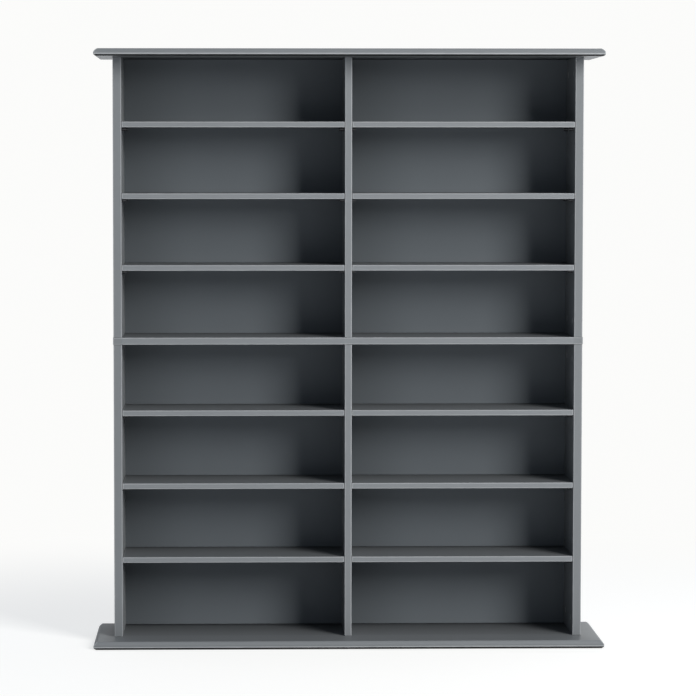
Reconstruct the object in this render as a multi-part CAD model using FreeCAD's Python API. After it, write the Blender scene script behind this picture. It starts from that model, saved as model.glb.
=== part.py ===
import FreeCAD, Part
import math
import os

# Free-standing media shelf in two columns, in millimetres.
# X runs to the right, Y to the rear and Z up. The origin is on the floor, in the middle of the base board.

# The boards
carcass_width = 1010.0
side_depth = 170.0
side_thickness = 18.0
divider_thickness = 15.0
board_thickness = 16.0
middle_thickness = 15.0
shelf_thickness = 12.0
back_thickness = 3.0
lower_height = 632.5
upper_height = 601.5
base_end_overhang = 42.0
top_end_overhang = 37.5
front_overhang = 71.0
middle_shelf_proud = 1.0
front_edge_radius = 1.0

# The moulded edge of the base and top boards, the same way up on both
moulding_top_inset = 8.0
moulding_top_height = 7.7
moulding_land_height = 4.7
moulding_foot_inset = 4.5
moulding_bulge = 0.8

# The back panels, let into grooves
back_recess = 7.0
groove_depth = 5.0
groove_slack = 0.15
back_end_gap = 0.5

# The adjustable shelves. The clear heights are listed from the bottom; the last one is what is left over.
shelf_side_gap = 1.0
shelf_rear_gap = 1.0
lower_clear_heights = (160.5, 148.0, 146.0)
upper_clear_heights = (144.0, 142.0, 141.5)

# The shelf pins and their rows of holes
hole_pitch = 32.0
front_pin_setback = 37.0
pin_row_spacing = 3 * hole_pitch
pin_radius = 2.5
pin_hole_slack = 0.1
pin_hole_depth = 7.0
pin_shank_length = 6.6
pin_drop = 3.0
pin_peg_radius = 4.0
pin_peg_length = 9.0
pin_collar_radius = 4.8
pin_collar_thickness = 1.2

# The cam fittings that draw the boards together
cam_radius = 7.4
cam_length = 12.2
cam_bore_radius = 7.5
cam_bore_depth = 12.7
cam_recess = 0.3
cam_setback = 34.0
cam_cross_length = 8.0
cam_cross_width = 1.5
cam_cross_depth = 2.5
bolt_bore_radius = 3.6
bolt_shank_radius = 2.9
bolt_neck_radius = 1.9
bolt_neck_length = 6.3
bolt_head_radius = 3.4
bolt_head_length = 3.0
bolt_collar_radius = 3.5
bolt_collar_thickness = 1.5
bolt_thread_length = 10.5
front_cam_setback = 32.0
cam_row_spacing = 3 * hole_pitch
cam_slack = 0.3

# The beech dowels between the cam fittings
dowel_radius = 3.95
dowel_bore_radius = 4.0
dowel_in_board = 10.0
dowel_in_panel = 20.0
bore_end_gap = 1.0
dowel_chamfer = 0.8

cut_clearance = 1.0

# Planes that the values above lead to
rear = (side_depth + front_overhang) / 2
front = rear - side_depth
board_front = front - front_overhang
side_outer = carcass_width / 2
side_inner = side_outer - side_thickness
divider_face = divider_thickness / 2
back_rear = rear - back_recess
back_front = back_rear - back_thickness
lower_bottom = board_thickness
lower_top = lower_bottom + lower_height
upper_bottom = lower_top + middle_thickness
upper_top = upper_bottom + upper_height
pin_rows = (front + front_pin_setback, front + front_pin_setback + pin_row_spacing)
cam_rows = (front + front_cam_setback, front + front_cam_setback + cam_row_spacing)
dowel_rows = (cam_rows[0] + hole_pitch, cam_rows[1] - hole_pitch)
shelf_back = back_front - shelf_rear_gap
pin_hole_radius = pin_radius + pin_hole_slack

X = FreeCAD.Vector(1, 0, 0)
Y = FreeCAD.Vector(0, 1, 0)
Z = FreeCAD.Vector(0, 0, 1)


def box(x0, x1, y0, y1, z0, z1):
    """A block between the given planes."""
    return Part.makeBox(x1 - x0, y1 - y0, z1 - z0, FreeCAD.Vector(x0, y0, z0))


def rod(radius, start, axis, length):
    """A round bar or bore from a start point along an axis."""
    return Part.makeCylinder(radius, length, FreeCAD.Vector(*start), axis)


def cut(shape, tools):
    """The shape with every tool taken away, as one solid."""
    result = shape.cut(tools).removeSplitter() if tools else shape
    assert len(result.Solids) == 1, "a board came apart"
    return result.Solids[0]


def save(name, shapes):
    """Write one named piece, or a group of like pieces, to its own file."""
    shape = shapes[0] if len(shapes) == 1 else Part.makeCompound(shapes)
    assert shape.isValid(), name
    shape.exportStep(os.path.join("parts", name + ".step"))


def moulding_outline(z0):
    """Points and arcs of the moulded edge from the underside to the top face, as (inset, height) pairs."""
    foot_height = board_thickness - moulding_top_height - moulding_land_height
    foot_start = (moulding_foot_inset, z0)
    foot_end = (0.0, z0 + foot_height)
    land_end = (0.0, z0 + foot_height + moulding_land_height)
    top_end = (moulding_top_inset, z0 + board_thickness)
    return foot_start, foot_end, land_end, top_end


def arc_middle(a, b, bulge):
    """The point halfway between two outline points, pushed outward (towards less inset) by the bulge."""
    run = b[0] - a[0]
    rise = b[1] - a[1]
    length = math.hypot(run, rise)
    return ((a[0] + b[0]) / 2 - bulge * rise / length, (a[1] + b[1]) / 2 + bulge * run / length)


def moulded_edge(z0, place):
    """Edges of the moulding; place turns an (inset, height) pair into a point."""
    foot_start, foot_end, land_end, top_end = moulding_outline(z0)
    foot_middle = arc_middle(foot_start, foot_end, moulding_bulge / 2)
    top_middle = arc_middle(land_end, top_end, moulding_bulge)
    foot = Part.Arc(place(foot_start), place(foot_middle), place(foot_end)).toShape()
    land = Part.makeLine(place(foot_end), place(land_end))
    top = Part.Arc(place(land_end), place(top_middle), place(top_end)).toShape()
    return [foot, land, top]


def moulded_board(z0, half_width):
    """A board moulded along its front and both ends, mitred at the corners and square at the rear."""
    def at_front(pair):
        return FreeCAD.Vector(-half_width, board_front + pair[0], pair[1])

    def at_left(pair):
        return FreeCAD.Vector(-half_width + pair[0], board_front, pair[1])

    def at_right(pair):
        return FreeCAD.Vector(half_width - pair[0], board_front, pair[1])

    foot_start, foot_end, land_end, top_end = moulding_outline(z0)
    rear_bottom = FreeCAD.Vector(-half_width, rear, z0)
    rear_top = FreeCAD.Vector(-half_width, rear, z0 + board_thickness)
    along = moulded_edge(z0, at_front)
    along += [Part.makeLine(at_front(top_end), rear_top), Part.makeLine(rear_top, rear_bottom)]
    along += [Part.makeLine(rear_bottom, at_front(foot_start))]
    lengthwise = Part.Face(Part.Wire(along)).extrude(X * (2 * half_width))
    across = moulded_edge(z0, at_left) + [Part.makeLine(at_left(top_end), at_right(top_end))]
    across += list(reversed(moulded_edge(z0, at_right)))
    across += [Part.makeLine(at_right(foot_start), at_left(foot_start))]
    crosswise = Part.Face(Part.Wire(Part.sortEdges(across)[0])).extrude(Y * (rear - board_front))
    return lengthwise.common(crosswise).Solids[0]


def ease_front(shape, upright):
    """Round the long front edges of a board; the short ones stay square where other boards meet them."""
    def is_front_edge(edge):
        ends = [vertex.Point for vertex in edge.Vertexes]
        at_front = all(abs(point.y - front) < 1e-6 for point in ends)
        runs_up = abs(ends[0].z - ends[1].z) > 2 * board_thickness
        runs_across = abs(ends[0].x - ends[1].x) > 2 * board_thickness
        return at_front and (runs_up if upright else runs_across)

    return shape.makeFillet(front_edge_radius, [edge for edge in shape.Edges if is_front_edge(edge)])


def shelf_undersides(bottom, clear_heights):
    """Height of the underside of each adjustable shelf, from the bottom up."""
    undersides = []
    floor = bottom
    for clear in clear_heights:
        undersides.append(floor + clear)
        floor = undersides[-1] + shelf_thickness
    return undersides


lower_undersides = shelf_undersides(lower_bottom, lower_clear_heights)
upper_undersides = shelf_undersides(upper_bottom, upper_clear_heights)


def pin_holes(face, inward, undersides):
    """The pin holes in one face of a panel: the hole in use and one spare above and below it."""
    holes = []
    for underside in undersides:
        for step in (-1, 0, 1):
            for y in pin_rows:
                start = (face - inward * cut_clearance, y, underside - pin_drop + step * hole_pitch)
                holes.append(rod(pin_hole_radius, start, X * inward, pin_hole_depth + cut_clearance))
    return holes


def groove(face, inward, z0, z1):
    """The upright groove for a back panel in one face of a panel."""
    x0 = min(face + inward * groove_depth, face - inward * cut_clearance)
    y0 = back_front - groove_slack
    y1 = back_rear + groove_slack
    return box(x0, x0 + groove_depth + cut_clearance, y0, y1, z0, z1)


def cam_bores(face, inward, thickness, z0, z1):
    """At both ends of a panel: the bores for the cams, for the bolts that reach them and for the dowels."""
    tools = []
    middle = face + inward * thickness / 2
    for end, up in ((z0, 1), (z1, -1)):
        outside = end - up * cut_clearance
        for y in cam_rows:
            cam_start = (face - inward * cut_clearance, y, end + up * cam_setback)
            tools.append(rod(cam_bore_radius, cam_start, X * inward, cam_bore_depth + cut_clearance))
            tools.append(rod(bolt_bore_radius, (middle, y, outside), Z * up, cam_setback + cut_clearance))
        for y in dowel_rows:
            length = dowel_in_panel + bore_end_gap + cut_clearance
            tools.append(rod(dowel_bore_radius, (middle, y, outside), Z * up, length))
    return tools


def side_panel(side, z0, z1, undersides):
    """One side panel; side is -1 on the left and 1 on the right."""
    panel = box(side_inner, side_outer, front, rear, z0, z1)
    if side < 0:
        panel = box(-side_outer, -side_inner, front, rear, z0, z1)
    face = side * side_inner
    tools = pin_holes(face, side, undersides) + cam_bores(face, side, side_thickness, z0, z1)
    tools.append(groove(face, side, z0 - cut_clearance, z1 + cut_clearance))
    return cut(ease_front(panel, True), tools)


def divider_panel(z0, z1, undersides):
    """The upright between the two columns, bored for pins on both faces; its cams are on the left."""
    panel = box(-divider_face, divider_face, front, rear, z0, z1)
    tools = cam_bores(-divider_face, 1, divider_thickness, z0, z1)
    for side in (-1, 1):
        tools += pin_holes(side * divider_face, -side, undersides)
        tools.append(groove(side * divider_face, -side, z0 - cut_clearance, z1 + cut_clearance))
    return cut(ease_front(panel, True), tools)


upright_middles = (-(side_inner + side_outer) / 2, 0.0, (side_inner + side_outer) / 2)


def board_bores(face, up):
    """Blind bores in the base or top board where the uprights meet it."""
    tools = []
    for x in upright_middles:
        for y in cam_rows:
            depth = bolt_thread_length + bore_end_gap + cut_clearance
            tools.append(rod(bolt_shank_radius, (x, y, face + up * cut_clearance), Z * -up, depth))
        for y in dowel_rows:
            depth = dowel_in_board + bore_end_gap + cut_clearance
            tools.append(rod(dowel_bore_radius, (x, y, face + up * cut_clearance), Z * -up, depth))
    return tools


def board_groove(face, up):
    """The groove along a board for both back panels above or below it."""
    end = side_inner + groove_depth
    y0 = back_front - groove_slack
    y1 = back_rear + groove_slack
    z0 = min(face - up * groove_depth, face + up * cut_clearance)
    return box(-end, end, y0, y1, z0, z0 + groove_depth + cut_clearance)


def middle_shelf():
    """The fixed shelf between the lower and upper uprights; its ends stand a little proud of the sides."""
    half = side_outer + middle_shelf_proud
    board = ease_front(box(-half, half, front, rear, lower_top, upper_bottom), False)
    through = middle_thickness + 2 * cut_clearance
    tools = [board_groove(lower_top, -1), board_groove(upper_bottom, 1)]
    for x in upright_middles:
        tools += [rod(bolt_bore_radius, (x, y, lower_top - cut_clearance), Z, through) for y in cam_rows]
        tools += [rod(dowel_bore_radius, (x, y, lower_top - cut_clearance), Z, through) for y in dowel_rows]
    return cut(board, tools)


def bay_limits(side):
    """Left and right faces of the left (-1) or right (1) column."""
    return (-side_inner, -divider_face) if side < 0 else (divider_face, side_inner)


def back_panel(side, z0, z1):
    """One back panel, held in the grooves on all four edges."""
    reach = groove_depth - back_end_gap
    x0, x1 = bay_limits(side)
    return box(x0 - reach, x1 + reach, back_front, back_rear, z0 - reach, z1 + reach)


def adjustable_shelf(side, underside):
    """One loose shelf, lying on four pins."""
    x0, x1 = bay_limits(side)
    x0 += shelf_side_gap
    x1 -= shelf_side_gap
    return ease_front(box(x0, x1, front, shelf_back, underside, underside + shelf_thickness), False)


def shelf_pin(face, outward, y, underside):
    """A turned steel pin: shank in the hole, collar against the face, and a peg with a flat for the shelf."""
    z = underside - pin_drop
    shank = rod(pin_radius, (face, y, z), X * -outward, pin_shank_length)
    collar = rod(pin_collar_radius, (face, y, z), X * outward, pin_collar_thickness)
    peg = rod(pin_peg_radius, (face, y, z), X * outward, pin_peg_length)
    reach = 2 * pin_peg_length
    above = box(face - reach, face + reach, y - reach, y + reach, underside, underside + reach)
    head = collar.fuse(peg).cut(above)
    return shank.fuse(head).removeSplitter().Solids[0]


def bay_pins(side, undersides):
    """The pins under every adjustable shelf of one column, four to a shelf."""
    x0, x1 = bay_limits(side)
    pins = []
    for underside in undersides:
        for y in pin_rows:
            pins += [shelf_pin(x0, 1, y, underside), shelf_pin(x1, -1, y, underside)]
    return pins


def cam(face, inward, bolt_depth, y, z, towards_bolt):
    """A cam drum: a disc with a cross slot, hollowed for the head and neck of its bolt."""
    drum = rod(cam_radius, (face + inward * cam_recess, y, z), X * inward, cam_length)
    x = face + inward * bolt_depth
    reach = bolt_head_length / 2 + cam_slack
    pocket = rod(bolt_head_radius + cam_slack, (x, y, z - reach), Z, 2 * reach)
    neck = rod(bolt_neck_radius + cam_slack, (x, y, z), Z * towards_bolt, cam_radius + cut_clearance)
    x0 = face - inward * cut_clearance
    x1 = face + inward * (cam_recess + cam_cross_depth)
    long = cam_cross_length / 2
    wide = cam_cross_width / 2
    upright_slot = box(min(x0, x1), max(x0, x1), y - wide, y + wide, z - long, z + long)
    level_slot = box(min(x0, x1), max(x0, x1), y - long, y + long, z - wide, z + wide)
    return drum.cut([pocket, neck, upright_slot, level_slot]).Solids[0]


def cams(z0, z1):
    """The cams at both ends of the three uprights of one storey."""
    drums = []
    for end, up in ((z0, 1), (z1, -1)):
        z = end + up * cam_setback
        for y in cam_rows:
            drums.append(cam(-side_inner, -1, side_thickness / 2, y, z, -up))
            drums.append(cam(-divider_face, 1, divider_thickness / 2, y, z, -up))
            drums.append(cam(side_inner, 1, side_thickness / 2, y, z, -up))
    return drums


def bolt_end(x, y, face, up):
    """The part of a bolt that stands in the upright: shank, neck and head."""
    head_start = cam_setback - bolt_head_length / 2
    neck_start = head_start - bolt_neck_length
    shank = rod(bolt_shank_radius, (x, y, face), Z * up, neck_start)
    neck = rod(bolt_neck_radius, (x, y, face + up * neck_start), Z * up, bolt_neck_length)
    head = rod(bolt_head_radius, (x, y, face + up * head_start), Z * up, bolt_head_length)
    return shank.fuse([neck, head])


def cam_bolt(x, y, face, up):
    """A bolt screwed into the base or top board, with a collar at the board's face."""
    thread = rod(bolt_shank_radius, (x, y, face), Z * -up, bolt_thread_length)
    collar = rod(bolt_collar_radius, (x, y, face), Z * up, bolt_collar_thickness)
    return bolt_end(x, y, face, up).fuse([thread, collar]).removeSplitter().Solids[0]


def double_bolt(x, y):
    """A bolt through the middle shelf, with a head at both ends."""
    between = rod(bolt_shank_radius, (x, y, lower_top), Z, middle_thickness)
    ends = [bolt_end(x, y, lower_top, -1), bolt_end(x, y, upper_bottom, 1)]
    return between.fuse(ends).removeSplitter().Solids[0]


def dowel(x, y, z0, z1):
    """A beech dowel with chamfered ends."""
    peg = rod(dowel_radius, (x, y, z0), Z, z1 - z0)
    rims = [edge for edge in peg.Edges if edge.Length > 2 * dowel_radius and len(edge.Vertexes) == 1]
    return peg.makeChamfer(dowel_chamfer, rims)


def at_uprights(rows, make):
    """One fitting at each row of each upright."""
    return [make(x, y) for x in upright_middles for y in rows]


def build():
    """Every piece of the shelf, in the order in which it's put together."""
    os.makedirs("parts", exist_ok=True)
    base_top = lower_bottom
    base_cuts = board_bores(base_top, 1) + [board_groove(base_top, 1)]
    save("base_board", [cut(moulded_board(0.0, side_outer + base_end_overhang), base_cuts)])
    save("cam_bolts_base", at_uprights(cam_rows, lambda x, y: cam_bolt(x, y, base_top, 1)))
    save("dowels_base", at_uprights(
        dowel_rows, lambda x, y: dowel(x, y, base_top - dowel_in_board, base_top + dowel_in_panel)))

    storeys = (("lower", lower_bottom, lower_top, lower_undersides),
               ("upper", upper_bottom, upper_top, upper_undersides))
    for storey, z0, z1, undersides in storeys:
        save("side_left_" + storey, [side_panel(-1, z0, z1, undersides)])
        save("divider_" + storey, [divider_panel(z0, z1, undersides)])
        save("side_right_" + storey, [side_panel(1, z0, z1, undersides)])
        save("cam_locks_" + storey, cams(z0, z1))
        for column, side in (("left", -1), ("right", 1)):
            save("back_" + column + "_" + storey, [back_panel(side, z0, z1)])
            save("shelf_pins_" + column + "_" + storey, bay_pins(side, undersides))
            for number, underside in enumerate(undersides, 1):
                name = "shelf_" + column + "_" + storey + "_" + str(number)
                save(name, [adjustable_shelf(side, underside)])

    save("middle_shelf", [middle_shelf()])
    save("cam_bolts_middle", at_uprights(cam_rows, double_bolt))
    save("dowels_middle", at_uprights(
        dowel_rows, lambda x, y: dowel(x, y, lower_top - dowel_in_panel, upper_bottom + dowel_in_panel)))

    top_cuts = board_bores(upper_top, -1) + [board_groove(upper_top, -1)]
    save("top_board", [cut(moulded_board(upper_top, side_outer + top_end_overhang), top_cuts)])
    save("cam_bolts_top", at_uprights(cam_rows, lambda x, y: cam_bolt(x, y, upper_top, -1)))
    save("dowels_top", at_uprights(
        dowel_rows, lambda x, y: dowel(x, y, upper_top - dowel_in_panel, upper_top + dowel_in_board)))


build()
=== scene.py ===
import math

import bpy
import numpy as np
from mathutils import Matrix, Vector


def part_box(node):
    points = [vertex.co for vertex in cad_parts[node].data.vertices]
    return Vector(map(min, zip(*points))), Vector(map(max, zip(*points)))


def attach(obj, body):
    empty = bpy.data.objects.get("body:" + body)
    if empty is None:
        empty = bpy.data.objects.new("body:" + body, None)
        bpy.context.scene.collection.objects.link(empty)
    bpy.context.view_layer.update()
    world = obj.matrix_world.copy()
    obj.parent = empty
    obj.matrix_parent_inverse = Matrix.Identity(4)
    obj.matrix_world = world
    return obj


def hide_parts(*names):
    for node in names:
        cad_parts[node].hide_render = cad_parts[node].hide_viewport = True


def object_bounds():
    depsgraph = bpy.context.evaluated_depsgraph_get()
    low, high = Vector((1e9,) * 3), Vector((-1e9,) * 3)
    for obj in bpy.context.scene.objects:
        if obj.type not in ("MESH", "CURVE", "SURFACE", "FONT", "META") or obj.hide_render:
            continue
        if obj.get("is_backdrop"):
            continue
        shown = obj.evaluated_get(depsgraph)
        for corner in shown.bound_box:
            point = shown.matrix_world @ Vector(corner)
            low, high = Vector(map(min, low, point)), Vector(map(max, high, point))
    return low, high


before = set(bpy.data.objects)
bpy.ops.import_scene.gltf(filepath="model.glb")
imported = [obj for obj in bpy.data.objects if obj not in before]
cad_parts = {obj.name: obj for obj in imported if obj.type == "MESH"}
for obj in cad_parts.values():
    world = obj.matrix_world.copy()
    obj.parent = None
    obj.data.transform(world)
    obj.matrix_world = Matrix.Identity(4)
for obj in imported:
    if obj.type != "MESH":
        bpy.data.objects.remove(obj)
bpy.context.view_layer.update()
scene = bpy.context.scene
mm = 0.001


# Base board
# A 16 mm fibreboard, moulded along its front and both ends and wrapped in satin slate-grey foil.
# It lies flat on the floor, and the lower sides and divider are drawn down onto it by cam bolts.
class Shade:
    """A socket of a material. Arithmetic on it adds Math nodes, and node() adds any other kind."""

    def __init__(self, tree, socket=None):
        self.tree = tree
        self.socket = socket

    def node(self, kind, settings, inputs, output=0):
        """Adds a node. Its settings are made first, then its inputs are linked or given their values."""
        made = self.tree.nodes.new(kind)
        for name, setting in settings.items():
            setattr(made, name, setting)
        for name, value in inputs.items():
            if isinstance(value, Shade):
                self.tree.links.new(value.socket, made.inputs[name])
            else:
                made.inputs[name].default_value = value
        return Shade(self.tree, made.outputs[output] if len(made.outputs) else None)

    def math(self, operation, *values):
        return self.node("ShaderNodeMath", {"operation": operation}, dict(enumerate(values)))

    def __add__(self, other):
        return self.math("ADD", self, other)

    def __sub__(self, other):
        return self.math("SUBTRACT", self, other)

    def __rsub__(self, other):
        return self.math("SUBTRACT", other, self)

    def __mul__(self, other):
        return self.math("MULTIPLY", self, other)

    def __pow__(self, other):
        return self.math("POWER", self, other)

    __radd__ = __add__
    __rmul__ = __mul__

    def least(self, other):
        return self.math("MINIMUM", self, other)

    def most(self, other):
        return self.math("MAXIMUM", self, other)

    def size(self):
        return self.math("ABSOLUTE", self)

    def rise(self, start, end):
        """0 up to start, 1 from end on, and a smooth step between them."""
        step = {"interpolation_type": "SMOOTHSTEP"}
        return self.node("ShaderNodeMapRange", step, {0: self, 1: start, 2: end})

    def fall(self, start, end):
        """1 up to start, 0 from end on."""
        return 1 - self.rise(start, end)

    def blend(self, low_colour, high_colour):
        """A colour between two others, which may be sockets too, as this value goes from 0 to 1."""
        colours = {0: self, 6: low_colour, 7: high_colour}
        return self.node("ShaderNodeMix", {"data_type": "RGBA"}, colours, 2)


def new_material(name):
    """An empty material, a start for its nodes, and its object coordinates with their three parts."""
    material = bpy.data.materials.new(name)
    material.use_nodes = True
    material.node_tree.nodes.clear()
    start = Shade(material.node_tree)
    place = start.node("ShaderNodeTexCoord", {}, {}, "Object")
    x, y, z = (start.node("ShaderNodeSeparateXYZ", {}, {0: place}, axis) for axis in range(3))
    return material, start, place, x, y, z


def noise(place, scale, detail=2.0, stretch=(1.0, 1.0, 1.0)):
    """Cloudy noise about 0, within about half of 1 each way. It has scale cells to a metre, and a stretch
    under 1 draws it out along that axis."""
    drawn = place.node("ShaderNodeMapping", {}, {"Vector": place, "Scale": stretch})
    return place.node("ShaderNodeTexNoise", {}, {"Vector": drawn, "Scale": scale, "Detail": detail}) - 0.5


def close_material(material, start, colour, roughness, height, relief, specular=0.5, metallic=0.0):
    """Joins a colour, a roughness and a height, whose unit is relief in metres, into the finished surface."""
    bump = start.node("ShaderNodeBump", {}, {"Height": height, "Distance": relief, "Strength": 1.0})
    surface = {"Base Color": colour, "Roughness": roughness, "Normal": bump}
    surface["Specular IOR Level"] = specular
    surface["Metallic"] = metallic
    shader = start.node("ShaderNodeBsdfPrincipled", {}, surface)
    start.node("ShaderNodeOutputMaterial", {}, {"Surface": shader})
    return material


black = (0.0, 0.0, 0.0, 1.0)
slate_dark = (0.217, 0.232, 0.245, 1.0)
slate_light = (0.239, 0.255, 0.269, 1.0)
# A paler slate for the lines along arrises: worn there, and lighter again as a painted highlight.
slate_worn_highlight = (0.385, 0.403, 0.420, 1.0)
foil_specular = 0.2
foil_relief = 0.012 * mm


def foil(place, stretch, arris, shade):
    """Satin foil as a colour, a roughness and a height: slate with faint clouds, streaks of the rolling
    that run along the board, an orange-peel skin, and a paler line where arris is 1, worn there and
    lighter again as a painted highlight. Shade takes it towards black."""
    clouds = noise(place, 5.0, 3.0)
    streaks = noise(place, 45.0, 3.0, stretch)
    peel = noise(place, 900.0)
    grit = noise(place, 3000.0)
    tone = 0.5 + clouds * 0.55 + streaks * 0.3 + grit * 0.35
    wear_and_highlight = arris * (0.8 + noise(place, 30.0) * 0.8)
    skin = wear_and_highlight.blend(tone.blend(slate_dark, slate_light), slate_worn_highlight)
    roughness = 0.44 + clouds * 0.16 + peel * 0.12
    return shade.blend(skin, black), roughness, peel + grit * 0.3


along_board = (0.04, 1.0, 1.0)
thickness = 16 * mm
bevel_inset = 8 * mm
bevel_height = 7.7 * mm
bevel_bulge = 0.8 * mm
land_height = 4.7 * mm
foot_inset = 4.5 * mm
foot_bulge = 0.4 * mm
foot_height = thickness - bevel_height - land_height
flat_margin = 3 * mm
section_step = 0.1 * mm
arris_softness = 0.6 * mm
corner_radius = 1.2 * mm
arc_points = 24
points_to_one = 4
corner_points = 7
sharp_angle = math.radians(40)


def bulged(start, end, bulge):
    """A shallow arc between two points of the moulding's section: the straight line from one to the other,
    pushed out square to itself by bulge times one less the square of the place along it, from -1 to 1."""
    along = np.linspace(-1, 1, arc_points)[:, None]
    start, end = np.array(start), np.array(end)
    run = end - start
    outward = np.array((run[1], -run[0])) / np.hypot(*run)
    return (start + end) / 2 + run / 2 * along + outward * bulge * (1 - along**2)


def eased_section():
    """The moulding's section as insets and heights, from the top face to the underside. Its arrises are eased
    by moving each point, evenly spaced, to the mean of the stretch of section about it. Of the eased points
    one in points_to_one is kept."""
    bevel = bulged((bevel_inset, thickness), (0.0, foot_height + land_height), bevel_bulge)
    foot = bulged((0.0, foot_height), (foot_inset, 0.0), foot_bulge)
    inner_top, inner_bottom = (bevel_inset + flat_margin, thickness), (foot_inset + flat_margin, 0.0)
    sharp = np.concatenate(([inner_top], bevel, foot, [inner_bottom]))
    run = np.concatenate(([0.0], np.cumsum(np.hypot(*np.diff(sharp, axis=0).T))))
    even = np.arange(0.0, run[-1], section_step)
    fine = np.stack([np.interp(even, run, sharp[:, axis]) for axis in (0, 1)], axis=1)
    width = round(arris_softness / section_step)
    window = np.ones(width) / width
    eased = np.stack([np.convolve(fine[:, axis], window, mode="valid") for axis in (0, 1)], axis=1)
    return eased[::points_to_one]


def moulded_board(name, low, high):
    """A board moulded along its front and ends. Each row of its grid is one point of the section, carried
    round the outline from the left rear corner to the right one. The two front corners are quarter circles
    whose radius shrinks with the inset, down to a tenth of its outermost value."""
    inset, height = eased_section()[:, :, None].transpose(1, 0, 2)
    radius = np.maximum(corner_radius - inset, 0.1 * corner_radius)
    turn = np.linspace(0, math.pi / 2, corner_points)
    corner_x = low.x + inset + radius * (1 - np.cos(turn))
    corner_y = low.y + inset + radius * (1 - np.sin(turn))
    rear_y = np.full_like(inset, high.y)
    xs = np.concatenate((low.x + inset, corner_x), axis=1)
    ys = np.concatenate((rear_y, corner_y), axis=1)
    xs = np.concatenate((xs, low.x + high.x - xs[:, ::-1]), axis=1)
    ys = np.concatenate((ys, ys[:, ::-1]), axis=1)
    rows, columns = xs.shape
    zs = np.repeat(low.z + height, columns, axis=1)
    points = np.stack((xs, ys, zs), axis=2).reshape(-1, 3)
    first = (np.arange(rows - 1)[:, None] * columns + np.arange(columns - 1)).reshape(-1)
    strips = np.stack((first, first + columns, first + columns + 1, first + 1), axis=1).tolist()
    left_end = np.arange(rows) * columns
    rear = np.concatenate(((left_end + columns - 1)[::-1], left_end)).tolist()
    top = list(range(columns))
    underside = list(range(rows * columns - 1, (rows - 1) * columns - 1, -1))
    mesh = bpy.data.meshes.new(name)
    mesh.from_pydata(points.tolist(), [], strips + [top, underside, rear])
    mesh.shade_smooth()
    mesh.set_sharp_from_angle(angle=sharp_angle)
    piece = bpy.data.objects.new(name, mesh)
    scene.collection.objects.link(piece)
    shading = piece.modifiers.new("flat_faces_first", "WEIGHTED_NORMAL")
    shading.keep_sharp = True
    return piece


carcass_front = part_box("side_right_lower")[0].y
side_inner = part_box("side_right_lower")[0].x
side_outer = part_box("side_right_lower")[1].x
back_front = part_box("back_left_lower")[0].y
# The width of the moulding's arris lines, worn and painted highlight, and the height of its lower one.
moulding_wear_highlight = 1.7 * mm
wear_highlight_height = foot_height + 1.4 * mm
bevel_low = foot_height + 1.5 * mm
bevel_high = thickness - 3 * mm
# Painted shade: how dark the moulding's foot goes, and the strengths and reaches of the painted shade on the
# face that closes the carcass and on level faces inside it.
foot_shade = 0.97
front_shade = 0.2
shade_edge = (-10 * mm, 20 * mm)
inner_shade = 0.29
closing_shade = 0.36
closing_shade_reach = 160 * mm
corner_shade = 0.2
corner_reach = 45 * mm
crease_reach = 12 * mm


def painted_inner_shade(y, most, reach):
    """How much painted shade darkens a level face inside the carcass. It rises by most from reach in
    front of the back panel up to the panel, and is deepest along the panel's foot."""
    away = back_front - y
    gathered = corner_shade * (away.fall(0.0, corner_reach) + away.fall(0.0, crease_reach))
    return inner_shade + most * away.fall(0.0, reach) + gathered


def moulding_foil(name, low, high, inner_height, spill, extra_shade, bevel_shade, foot_shade_height):
    """Foil of a moulded board. Its rubbed lines, lighter also as a painted highlight, follow the lower arris
    and the two mitres. Painted shade darkens the bevel towards that arris and blackens the foot of the
    moulding up to the given height. The face at inner_height, which closes the carcass, is darkened by
    painted shade, also for spill beyond the sides, and by a further even amount of painted shade."""
    material, start, place, x, y, z = new_material(name)
    from_end = high.x - x.size()
    from_front = y - low.y
    inset = from_end.least(from_front)
    height = z - low.z
    mitre = (from_end - from_front).size() * 0.7 + inset.rise(0.9 * bevel_inset, bevel_inset)
    # The lines along the lower arris and the mitres are lighter from wear and as a painted highlight.
    lower_arris = (inset**2.0 + (height - wear_highlight_height) ** 2.0) ** 0.5
    arris = mitre.least(lower_arris).fall(0.5 * moulding_wear_highlight, moulding_wear_highlight)
    # Painted shade blackens the foot of the moulding, standing in for its contact shadow.
    foot = foot_shade * height.fall(foot_shade_height, 1.1 * foot_shade_height)
    foot = foot * inset.fall(0.9 * foot_inset, 1.3 * foot_inset)
    # Painted shade darkens the bevel towards its lower arris.
    bevel = bevel_shade * height.fall(bevel_low, bevel_high) * (1 - arris)
    bevel = bevel * inset.fall(bevel_inset - 1 * mm, bevel_inset)
    # Painted shade on the face that closes the carcass: in front of it a painted reflection of the dark
    # compartments, behind its front deepest towards the back panel.
    before = front_shade * inset.rise(bevel_inset, bevel_inset + 1 * mm)
    behind = (y - carcass_front).rise(*shade_edge) * painted_inner_shade(y, closing_shade, closing_shade_reach)
    behind = behind * x.size().fall(side_inner, side_inner + 1 * mm)
    between = x.size().fall(side_outer, side_outer + spill)
    closing = (height - inner_height).size().fall(0.0, 0.1 * thickness) * between
    darkening = closing * (extra_shade + before.most(behind))
    colour, roughness, relief = foil(place, along_board, arris, foot.most(darkening).most(bevel))
    return close_material(material, start, colour, roughness, relief, foil_relief, foil_specular)


low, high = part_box("base_board")
base = moulded_board("base_board_foiled", low, high)
base_foil = moulding_foil(
    "base_foil",
    low,
    high,
    inner_height=thickness,
    spill=30 * mm,
    extra_shade=0.0,
    bevel_shade=0.18,
    foot_shade_height=foot_height,
)
base.data.materials.append(base_foil)
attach(base, "carcass")
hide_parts("base_board")


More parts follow.
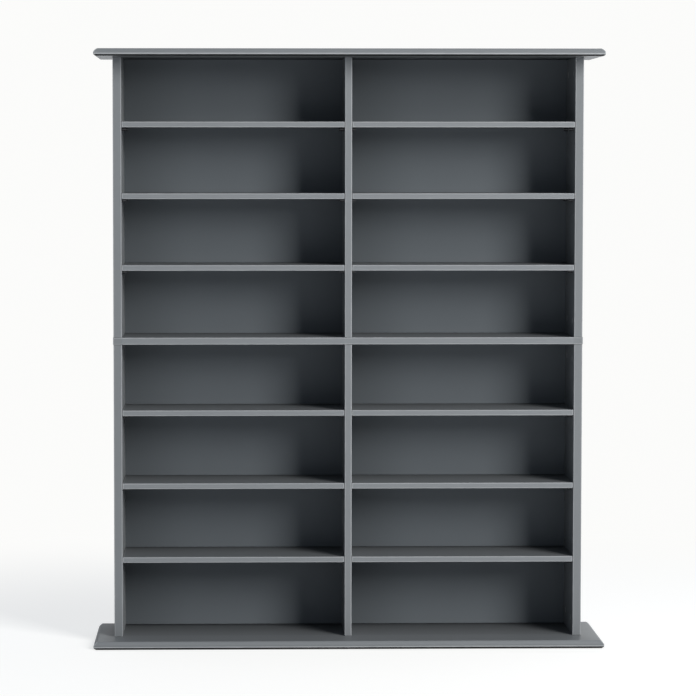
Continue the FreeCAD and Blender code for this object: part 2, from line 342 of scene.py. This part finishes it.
# Cam bolts
# Turned steel bolts, zinc-plated, screwed into the base and top boards, with double-ended ones through the
# middle shelf. Each ends in a thin neck and a head that a cam in the upright pulls on. Assembled, none shows.
def dress(node, material):
    """Gives a CAD node its finish."""
    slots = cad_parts[node].data.materials
    slots.clear()
    slots.append(material)


upright_middle = (side_inner + side_outer) / 2
cam_row = carcass_front + 32 * mm
cam_row_spacing = 96 * mm


def about_axis(x, y, first_row, row_spacing):
    """The angle about a fitting's own upright axis, in turns. The axes stand in rows of equal spacing."""
    across = x.math("WRAP", x, upright_middle / 2, -upright_middle / 2)
    back = x.math("WRAP", y - first_row, row_spacing / 2, -row_spacing / 2)
    return x.math("ARCTAN2", back, across) * (0.5 / math.pi)


thread_pitch = 1.0 * mm
zinc_pale = (0.66, 0.65, 0.60, 1.0)
zinc_dark = (0.49, 0.50, 0.51, 1.0)
material, start, place, x, y, z = new_material("zinc_plate")
plating = noise(place, 350.0, 3.0)
turns = z * (1 / thread_pitch) + about_axis(x, y, cam_row, cam_row_spacing)
thread = start.math("PINGPONG", turns, 0.5)
colour = (plating + 0.5).blend(zinc_pale, zinc_dark)
height = thread * 10.0 + noise(place, 2500.0)
roughness = 0.34 + plating * 0.3
zinc_plate = close_material(material, start, colour, roughness, height, relief=0.012 * mm, metallic=1.0)
for place_name in ("base", "middle", "top"):
    dress("cam_bolts_" + place_name, zinc_plate)


# Dowels
# Fluted beech dowels, 8 mm across, glued into the boards beside the cam bolts to keep them in line.
# The grain and the flutes run along each dowel, and its ends are chamfered.
dowel_row = cam_row + 32 * mm
dowel_row_spacing = 32 * mm
flute_count = 16
beech_dark = (0.50, 0.33, 0.19, 1.0)
beech_pale = (0.76, 0.58, 0.40, 1.0)
beech_fleck = (0.36, 0.20, 0.11, 1.0)
material, start, place, x, y, z = new_material("fluted_beech")
grain = noise(place, 900.0, 4.0, (1.0, 1.0, 0.06))
flecks = noise(place, 1600.0, 2.0, (1.0, 1.0, 0.25)).rise(0.12, 0.22)
flutes = start.math("SINE", about_axis(x, y, dowel_row, dowel_row_spacing) * (2 * math.pi * flute_count))
wood = (grain + 0.5 + flutes * 0.06).blend(beech_dark, beech_pale)
colour = (flecks * 0.5).blend(wood, beech_fleck)
roughness = 0.62 + grain * 0.2
height = flutes + grain * 0.6
beech = close_material(material, start, colour, roughness, height, relief=0.1 * mm, specular=0.4)
for place_name in ("base", "middle", "top"):
    dress("dowels_" + place_name, beech)


# Uprights
# Two 18 mm sides and a 15 mm divider in each storey, of foiled fibreboard with eased front arrises. They
# are bored for shelf pins, cams, bolts and dowels, grooved for the back panels, and sawn bare at the ends.
fibre_dark = (0.23, 0.145, 0.085, 1.0)
fibre_pale = (0.40, 0.28, 0.17, 1.0)


def raw_fibreboard(place):
    """Sawn fibreboard as a colour, a roughness and a height: brown, dull and fibrous."""
    fibres = noise(place, 700.0, 4.0) + 0.5
    return fibres.blend(fibre_dark, fibre_pale), 0.86 + fibres * 0.08, fibres * 4.0


def nearest_plane(part, planes):
    """Distance from one coordinate to the nearest of some planes."""
    gap = (part - planes[0]).size()
    for plane in planes[1:]:
        gap = gap.least((part - plane).size())
    return gap


def on_face(gap):
    """1 where the gap to a face's plane is next to nothing, and 0 from a fraction of a millimetre on."""
    return gap.fall(0.1 * mm, 0.3 * mm)


foil_depth = 0.5 * mm
# The width of the worn arris lines, also a painted highlight, and the painted shade on level faces and inner
# faces inside the carcass.
board_wear_highlight = 2.6 * mm
shelf_shade = 0.26
shelf_shade_reach = 130 * mm
joint_width = 1.1 * mm
joint_dirt = 0.6
inner_face_shade = 0.14
outer_darkening = 0.08
sawn = (-1.0,)


def board_foil(name, stretch, across, deep, high, joints=sawn):
    """Foil of a flat board. The planes of its foiled faces are given on |x|, y and z. A point near two of
    them is on an arris, worn paler and lighter again as a painted highlight, and one near none of them is
    inside a bore, a groove or a sawn end. joints are the heights where other boards meet it, each with a
    dark hairline. Painted shade darkens its level faces and the uprights' inner faces inside the carcass,
    and the two ends of the carcass are a little darker."""
    material, start, place, x, y, z = new_material(name)
    gap_x = nearest_plane(x.size(), across)
    gap_y = nearest_plane(y, deep)
    gap_z = nearest_plane(z, high)
    nearest = gap_x.least(gap_y).least(gap_z)
    second = gap_x.least(gap_y).most(gap_x.most(gap_y).least(gap_z))
    bare = nearest.rise(0.9 * foil_depth, 1.1 * foil_depth)
    seam = nearest_plane(z, joints).fall(0.4 * joint_width, joint_width)
    visible = y.fall(back_front - 4 * mm, back_front) * (1 - seam)
    # The arris lines are lighter from wear and as a painted highlight.
    arris = second.fall(0.3 * board_wear_highlight, board_wear_highlight) * visible
    inside = (y - carcass_front).rise(2 * board_wear_highlight, 3 * board_wear_highlight) * y.fall(back_front, back_front + 2 * mm)
    # Painted shade on level faces inside the carcass, deepest at the back panel.
    level = on_face(gap_z) * inside * painted_inner_shade(y, shelf_shade, shelf_shade_reach)
    # Painted shade on the uprights' inner faces.
    upright = inner_face_shade * on_face(gap_x) * inside
    # The two ends of the carcass are made a little darker.
    ends_darker = outer_darkening * x.size().rise(side_inner - 1 * mm, side_inner)
    darkening = level.most(upright).most(ends_darker).most(seam * joint_dirt)
    skin, skin_roughness, peel = foil(place, stretch, arris, darkening)
    raw, raw_roughness, fibres = raw_fibreboard(place)
    colour = bare.blend(skin, raw)
    roughness = skin_roughness * (1 - bare) + raw_roughness * bare
    height = peel + fibres * bare
    return close_material(material, start, colour, roughness, height, foil_relief, foil_specular)


along_upright = (1.0, 1.0, 0.04)
divider_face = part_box("divider_lower")[1].x
faces_across = (side_inner, side_outer, divider_face)
for storey in ("lower", "upper"):
    low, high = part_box("divider_" + storey)
    name = "upright_foil_" + storey
    material = board_foil(name, along_upright, faces_across, (low.y, high.y), sawn, (low.z, high.z))
    for upright in ("side_left_", "divider_", "side_right_"):
        dress(upright + storey, material)


# Cam locks
# Zinc castings, 15 mm across, dropped into bores in the uprights' inner faces and turned with a screwdriver.
# They are grey and grainy from the mould, with specks of dross, and paler on the faces that show.
cam_depth = 0.3 * mm
cast_dark = (0.30, 0.305, 0.31, 1.0)
cast_pale = (0.60, 0.61, 0.62, 1.0)
dross_grey = (0.22, 0.22, 0.23, 1.0)
material, start, place, x, y, z = new_material("cast_zinc")
mould = noise(place, 500.0, 4.0)
dross = noise(place, 1500.0, 2.0).rise(0.1, 0.25)
sunk = nearest_plane(x.size(), (side_inner, divider_face))
face = sunk.fall(cam_depth, 3 * cam_depth)
cast = (mould + 0.5 + face * 0.2).blend(cast_dark, cast_pale)
colour = (dross * 0.6).blend(cast, dross_grey)
height = mould * 2.0 + dross
roughness = 0.46 + mould * 0.3
cast_zinc = close_material(material, start, colour, roughness, height, relief=0.03 * mm, metallic=0.7)
for storey in ("lower", "upper"):
    dress("cam_locks_" + storey, cast_zinc)


# Back panels
# Four 3 mm hardboards, one behind each column and storey, slid into grooves on all four edges. The front is
# painted a darker slate, partly painted shade. The rear is bare and brown, marked by the screen it was
# pressed on.
screen_pitch = 2.2 * mm
# The paint is darker than the foil, and part of that darkness is painted shade of the compartments.
shaded_paint_dark = (0.133, 0.150, 0.165, 1.0)
shaded_paint_light = (0.149, 0.168, 0.185, 1.0)
hardboard_dark = (0.13, 0.075, 0.042, 1.0)
hardboard_light = (0.27, 0.165, 0.095, 1.0)
left_shade_amount = 0.28
left_shade_width = 170 * mm


def hardboard(name, low, high):
    """Painted where it faces the front, darker towards the left with painted shade, and bare and
    screen-marked behind.
    """
    material, start, place, x, y, z = new_material(name)
    clouds = noise(place, 4.0, 3.0)
    stipple = noise(place, 1400.0)
    fibres = noise(place, 500.0, 4.0) + 0.5
    # Painted shade, deepest at each panel's left edge.
    corner = left_shade_amount * (x - low.x).fall(0.0, left_shade_width)
    tone = 0.5 + clouds * 0.5 + stipple * 0.4
    shaded_paint = corner.blend(tone.blend(shaded_paint_dark, shaded_paint_light), black)
    bare = y.rise(low.y + 0.6 * (high.y - low.y), high.y - 0.1 * (high.y - low.y))
    raw = (fibres + clouds * 0.4).blend(hardboard_dark, hardboard_light)
    wires = [start.math("SINE", part * (2 * math.pi / screen_pitch)) for part in (x, z)]
    screen = wires[0] * wires[1]
    height = stipple + bare * (screen * 3.0 + fibres * 2.0)
    colour = bare.blend(shaded_paint, raw)
    roughness = 0.55 + clouds * 0.1 + bare * 0.25
    return close_material(
        material, start, colour, roughness, height, relief=0.02 * mm, specular=foil_specular
    )


for storey in ("lower", "upper"):
    for column in ("left", "right"):
        node = "back_" + column + "_" + storey
        dress(node, hardboard(node + "_board", *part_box(node)))


# Middle shelf
# A fixed 15 mm board between the two storeys, foiled on its faces and edges. Its ends stand just proud of
# the sides, and double-ended bolts and long dowels pass through it from the lower uprights to the upper ones.
low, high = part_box("middle_shelf")
middle_foil = board_foil("middle_foil", along_board, (high.x,), (low.y, high.y), (low.z, high.z))
dress("middle_shelf", middle_foil)


# Top board
# Moulded like the base board and 9 mm narrower, laid the same way up on the upper uprights and drawn down
# onto them by cam bolts.
low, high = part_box("top_board")
top = moulded_board("top_board_foiled", low, high)
top_foil = moulding_foil(
    "top_foil",
    low,
    high,
    inner_height=0.0,
    spill=2 * mm,
    extra_shade=0.25,
    bevel_shade=0.12,
    foot_shade_height=0.85 * foot_height,
)
top.data.materials.append(top_foil)
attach(top, "carcass")
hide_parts("top_board")


# Shelf pins
# Turned steel pins, black-oxidised, pushed into 5 mm holes. A collar stops each one at the upright's face,
# and the shelf lies on the flat of its peg. Turning has left fine rings round it.
oxide_dark = (0.035, 0.036, 0.039, 1.0)
oxide_light = (0.085, 0.087, 0.092, 1.0)
material, start, place, x, y, z = new_material("black_oxide")
rings = noise(place, 6000.0, 2.0, (1.0, 0.01, 0.01))
stains = noise(place, 250.0, 3.0)
worn = noise(place, 60.0).rise(-0.1, 0.3)
colour = (stains + 0.5 + worn * 0.2).blend(oxide_dark, oxide_light)
roughness = 0.42 + stains * 0.25
black_oxide = close_material(material, start, colour, roughness, rings, relief=0.01 * mm, metallic=0.85)
for storey in ("lower", "upper"):
    for column in ("left", "right"):
        dress("shelf_pins_" + column + "_" + storey, black_oxide)


# Loose shelves
# Twelve 12 mm boards, foiled on their faces and edges, three to a column in each storey. Each lies on four
# pins and can be moved up or down by a hole, or slid out to the front.
for storey in ("lower", "upper"):
    for column in ("left", "right"):
        for number in ("1", "2", "3"):
            node = "shelf_" + column + "_" + storey + "_" + number
            low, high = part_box(node)
            ends = sorted((abs(low.x), abs(high.x)))
            material = board_foil(node + "_foil", along_board, ends, (low.y, high.y), (low.z, high.z))
            dress(node, material)


# Floor, lights and camera
# A pale floor that runs on as a seamless backdrop, one large soft lamp from the upper right, and an even
# sky. The lamp is dimmer in reflections than in the light it sheds, so that its gleam never burns out.
floor_reach = 30.0
corners = floor_reach * np.array([(-1, -1, 0), (1, -1, 0), (1, 1, 0), (-1, 1, 0)])
floor_mesh = bpy.data.meshes.new("floor")
floor_mesh.from_pydata(corners.tolist(), [], [(0, 1, 2, 3)])
floor = bpy.data.objects.new("floor", floor_mesh)
scene.collection.objects.link(floor)
floor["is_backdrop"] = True

paper = (0.97, 0.97, 0.96, 1.0)
paper_shaded = (0.48, 0.483, 0.48, 1.0)
paper_bounce = (0.72, 0.72, 0.72, 1.0)
contact_reach = 5 * mm
mirrored_from = 60 * mm
shade_reach = (0.15, 1.5)
near_glow = 0.7
low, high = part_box("base_board")
material, start, place, x, y, z = new_material("floor_paper")
camera_ray = start.node("ShaderNodeLightPath", {}, {}, "Is Camera Ray")
glossy_ray = start.node("ShaderNodeLightPath", {}, {}, "Is Glossy Ray")
beside = (x.size() - high.x).most(0.0)
behind = (y - high.y).most(0.0)
before = (low.y - y).most(0.0)
away = (beside * beside + behind * behind + before * before) ** 0.5
far = away.rise(*shade_reach)
seen = far.blend(paper_shaded, black)
matte = start.node("ShaderNodeBsdfDiffuse", {}, {"Color": camera_ray.blend(paper_bounce, seen)})
foot_end = high.x - foot_inset
# The floor's glow is cut under the base's front moulding, where the real shade then shows. For a few
# millimetres in front of it, the cut is a painted contact shadow.
beneath = away.fall(0.0, contact_reach) * x.size().fall(foot_end - 1 * mm, foot_end + 1 * mm)
# In reflections the glow fades in over a short reach from the base, a painted shade for what the foot
# mirrors.
seen_or_mirrored = camera_ray.most(glossy_ray * away.rise(0.0, mirrored_from))
glow_strength = seen_or_mirrored * (near_glow + (1 - near_glow) * far) * (1 - beneath)
glow = start.node("ShaderNodeEmission", {}, {"Color": paper, "Strength": glow_strength})
both = start.node("ShaderNodeAddShader", {}, {0: matte, 1: glow})
start.node("ShaderNodeOutputMaterial", {}, {"Surface": both})
floor_mesh.materials.append(material)

world = bpy.data.worlds.new("studio")
scene.world = world
world.use_nodes = True
world.node_tree.nodes.clear()
start = Shade(world.node_tree)
camera_ray = start.node("ShaderNodeLightPath", {}, {}, "Is Camera Ray")
glossy_ray = start.node("ShaderNodeLightPath", {}, {}, "Is Glossy Ray")
heading = start.node("ShaderNodeTexCoord", {}, {}, "Generated")
right, rear = (start.node("ShaderNodeSeparateXYZ", {}, {0: heading}, axis) for axis in (0, 1))
sky_blue = (0.88, 0.98, 1.13, 1.0)
sky_strength = 0.21
rear_strength = 0.38
sheen_middle = 0.3
sheen_slope = 3.0
sheen_most = 0.9
sheen = (sheen_middle + sheen_slope * right).most(0.0).least(sheen_most) * glossy_ray
strength = camera_ray.most(sky_strength + rear.most(0.0) * (rear_strength + sheen))
sky_colour = camera_ray.most(glossy_ray).blend(sky_blue, paper)
sky = start.node("ShaderNodeBackground", {}, {"Color": sky_colour, "Strength": strength})
start.node("ShaderNodeOutputWorld", {}, {"Surface": sky})

lamp_target = np.array((0.0, 0.0, 0.64))
lamp_distance = 6.5
lamp_azimuth = math.radians(40)
lamp_elevation = math.radians(22.5)
lamp_width = 2.4
lamp_height = 3.2
lamp_warmth = (1.0, 0.98, 0.95)
level = lamp_distance * math.cos(lamp_elevation)
lamp_rise = lamp_distance * math.sin(lamp_elevation)
lamp_offset = (level * math.sin(lamp_azimuth), -level * math.cos(lamp_azimuth), lamp_rise)
for name, power, lights_matte in (("softbox", 415.0, True), ("softbox_gleam", 30.0, False)):
    lamp = bpy.data.lights.new(name, "AREA")
    lamp.shape = "RECTANGLE"
    lamp.size = lamp_width
    lamp.size_y = lamp_height
    lamp.energy = power
    lamp.color = lamp_warmth
    softbox = bpy.data.objects.new(name, lamp)
    scene.collection.objects.link(softbox)
    softbox.visible_diffuse = lights_matte
    softbox.visible_glossy = not lights_matte
    softbox.location = lamp_target + np.array(lamp_offset)
    softbox.rotation_euler = (math.pi / 2 - lamp_elevation, 0.0, lamp_azimuth)

frame_width = 696
focal_pixels = 2725.8
camera_turn = 0.0204
camera_tilt = 0.0570
camera_place = (-0.24, -5.9, 1.05)
frame_shift = (0.08, -0.05)
camera_data = bpy.data.cameras.new("camera")
camera_data.sensor_width = 36.0
camera_data.lens = focal_pixels * camera_data.sensor_width / frame_width
camera_data.shift_x, camera_data.shift_y = frame_shift
camera_data.clip_end = 100.0
camera = bpy.data.objects.new("camera", camera_data)
scene.collection.objects.link(camera)
scene.camera = camera
camera.location = camera_place
camera.rotation_euler = (math.pi / 2 - camera_tilt, 0.0, -camera_turn)

scene.view_settings.view_transform = "Standard"

low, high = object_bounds()
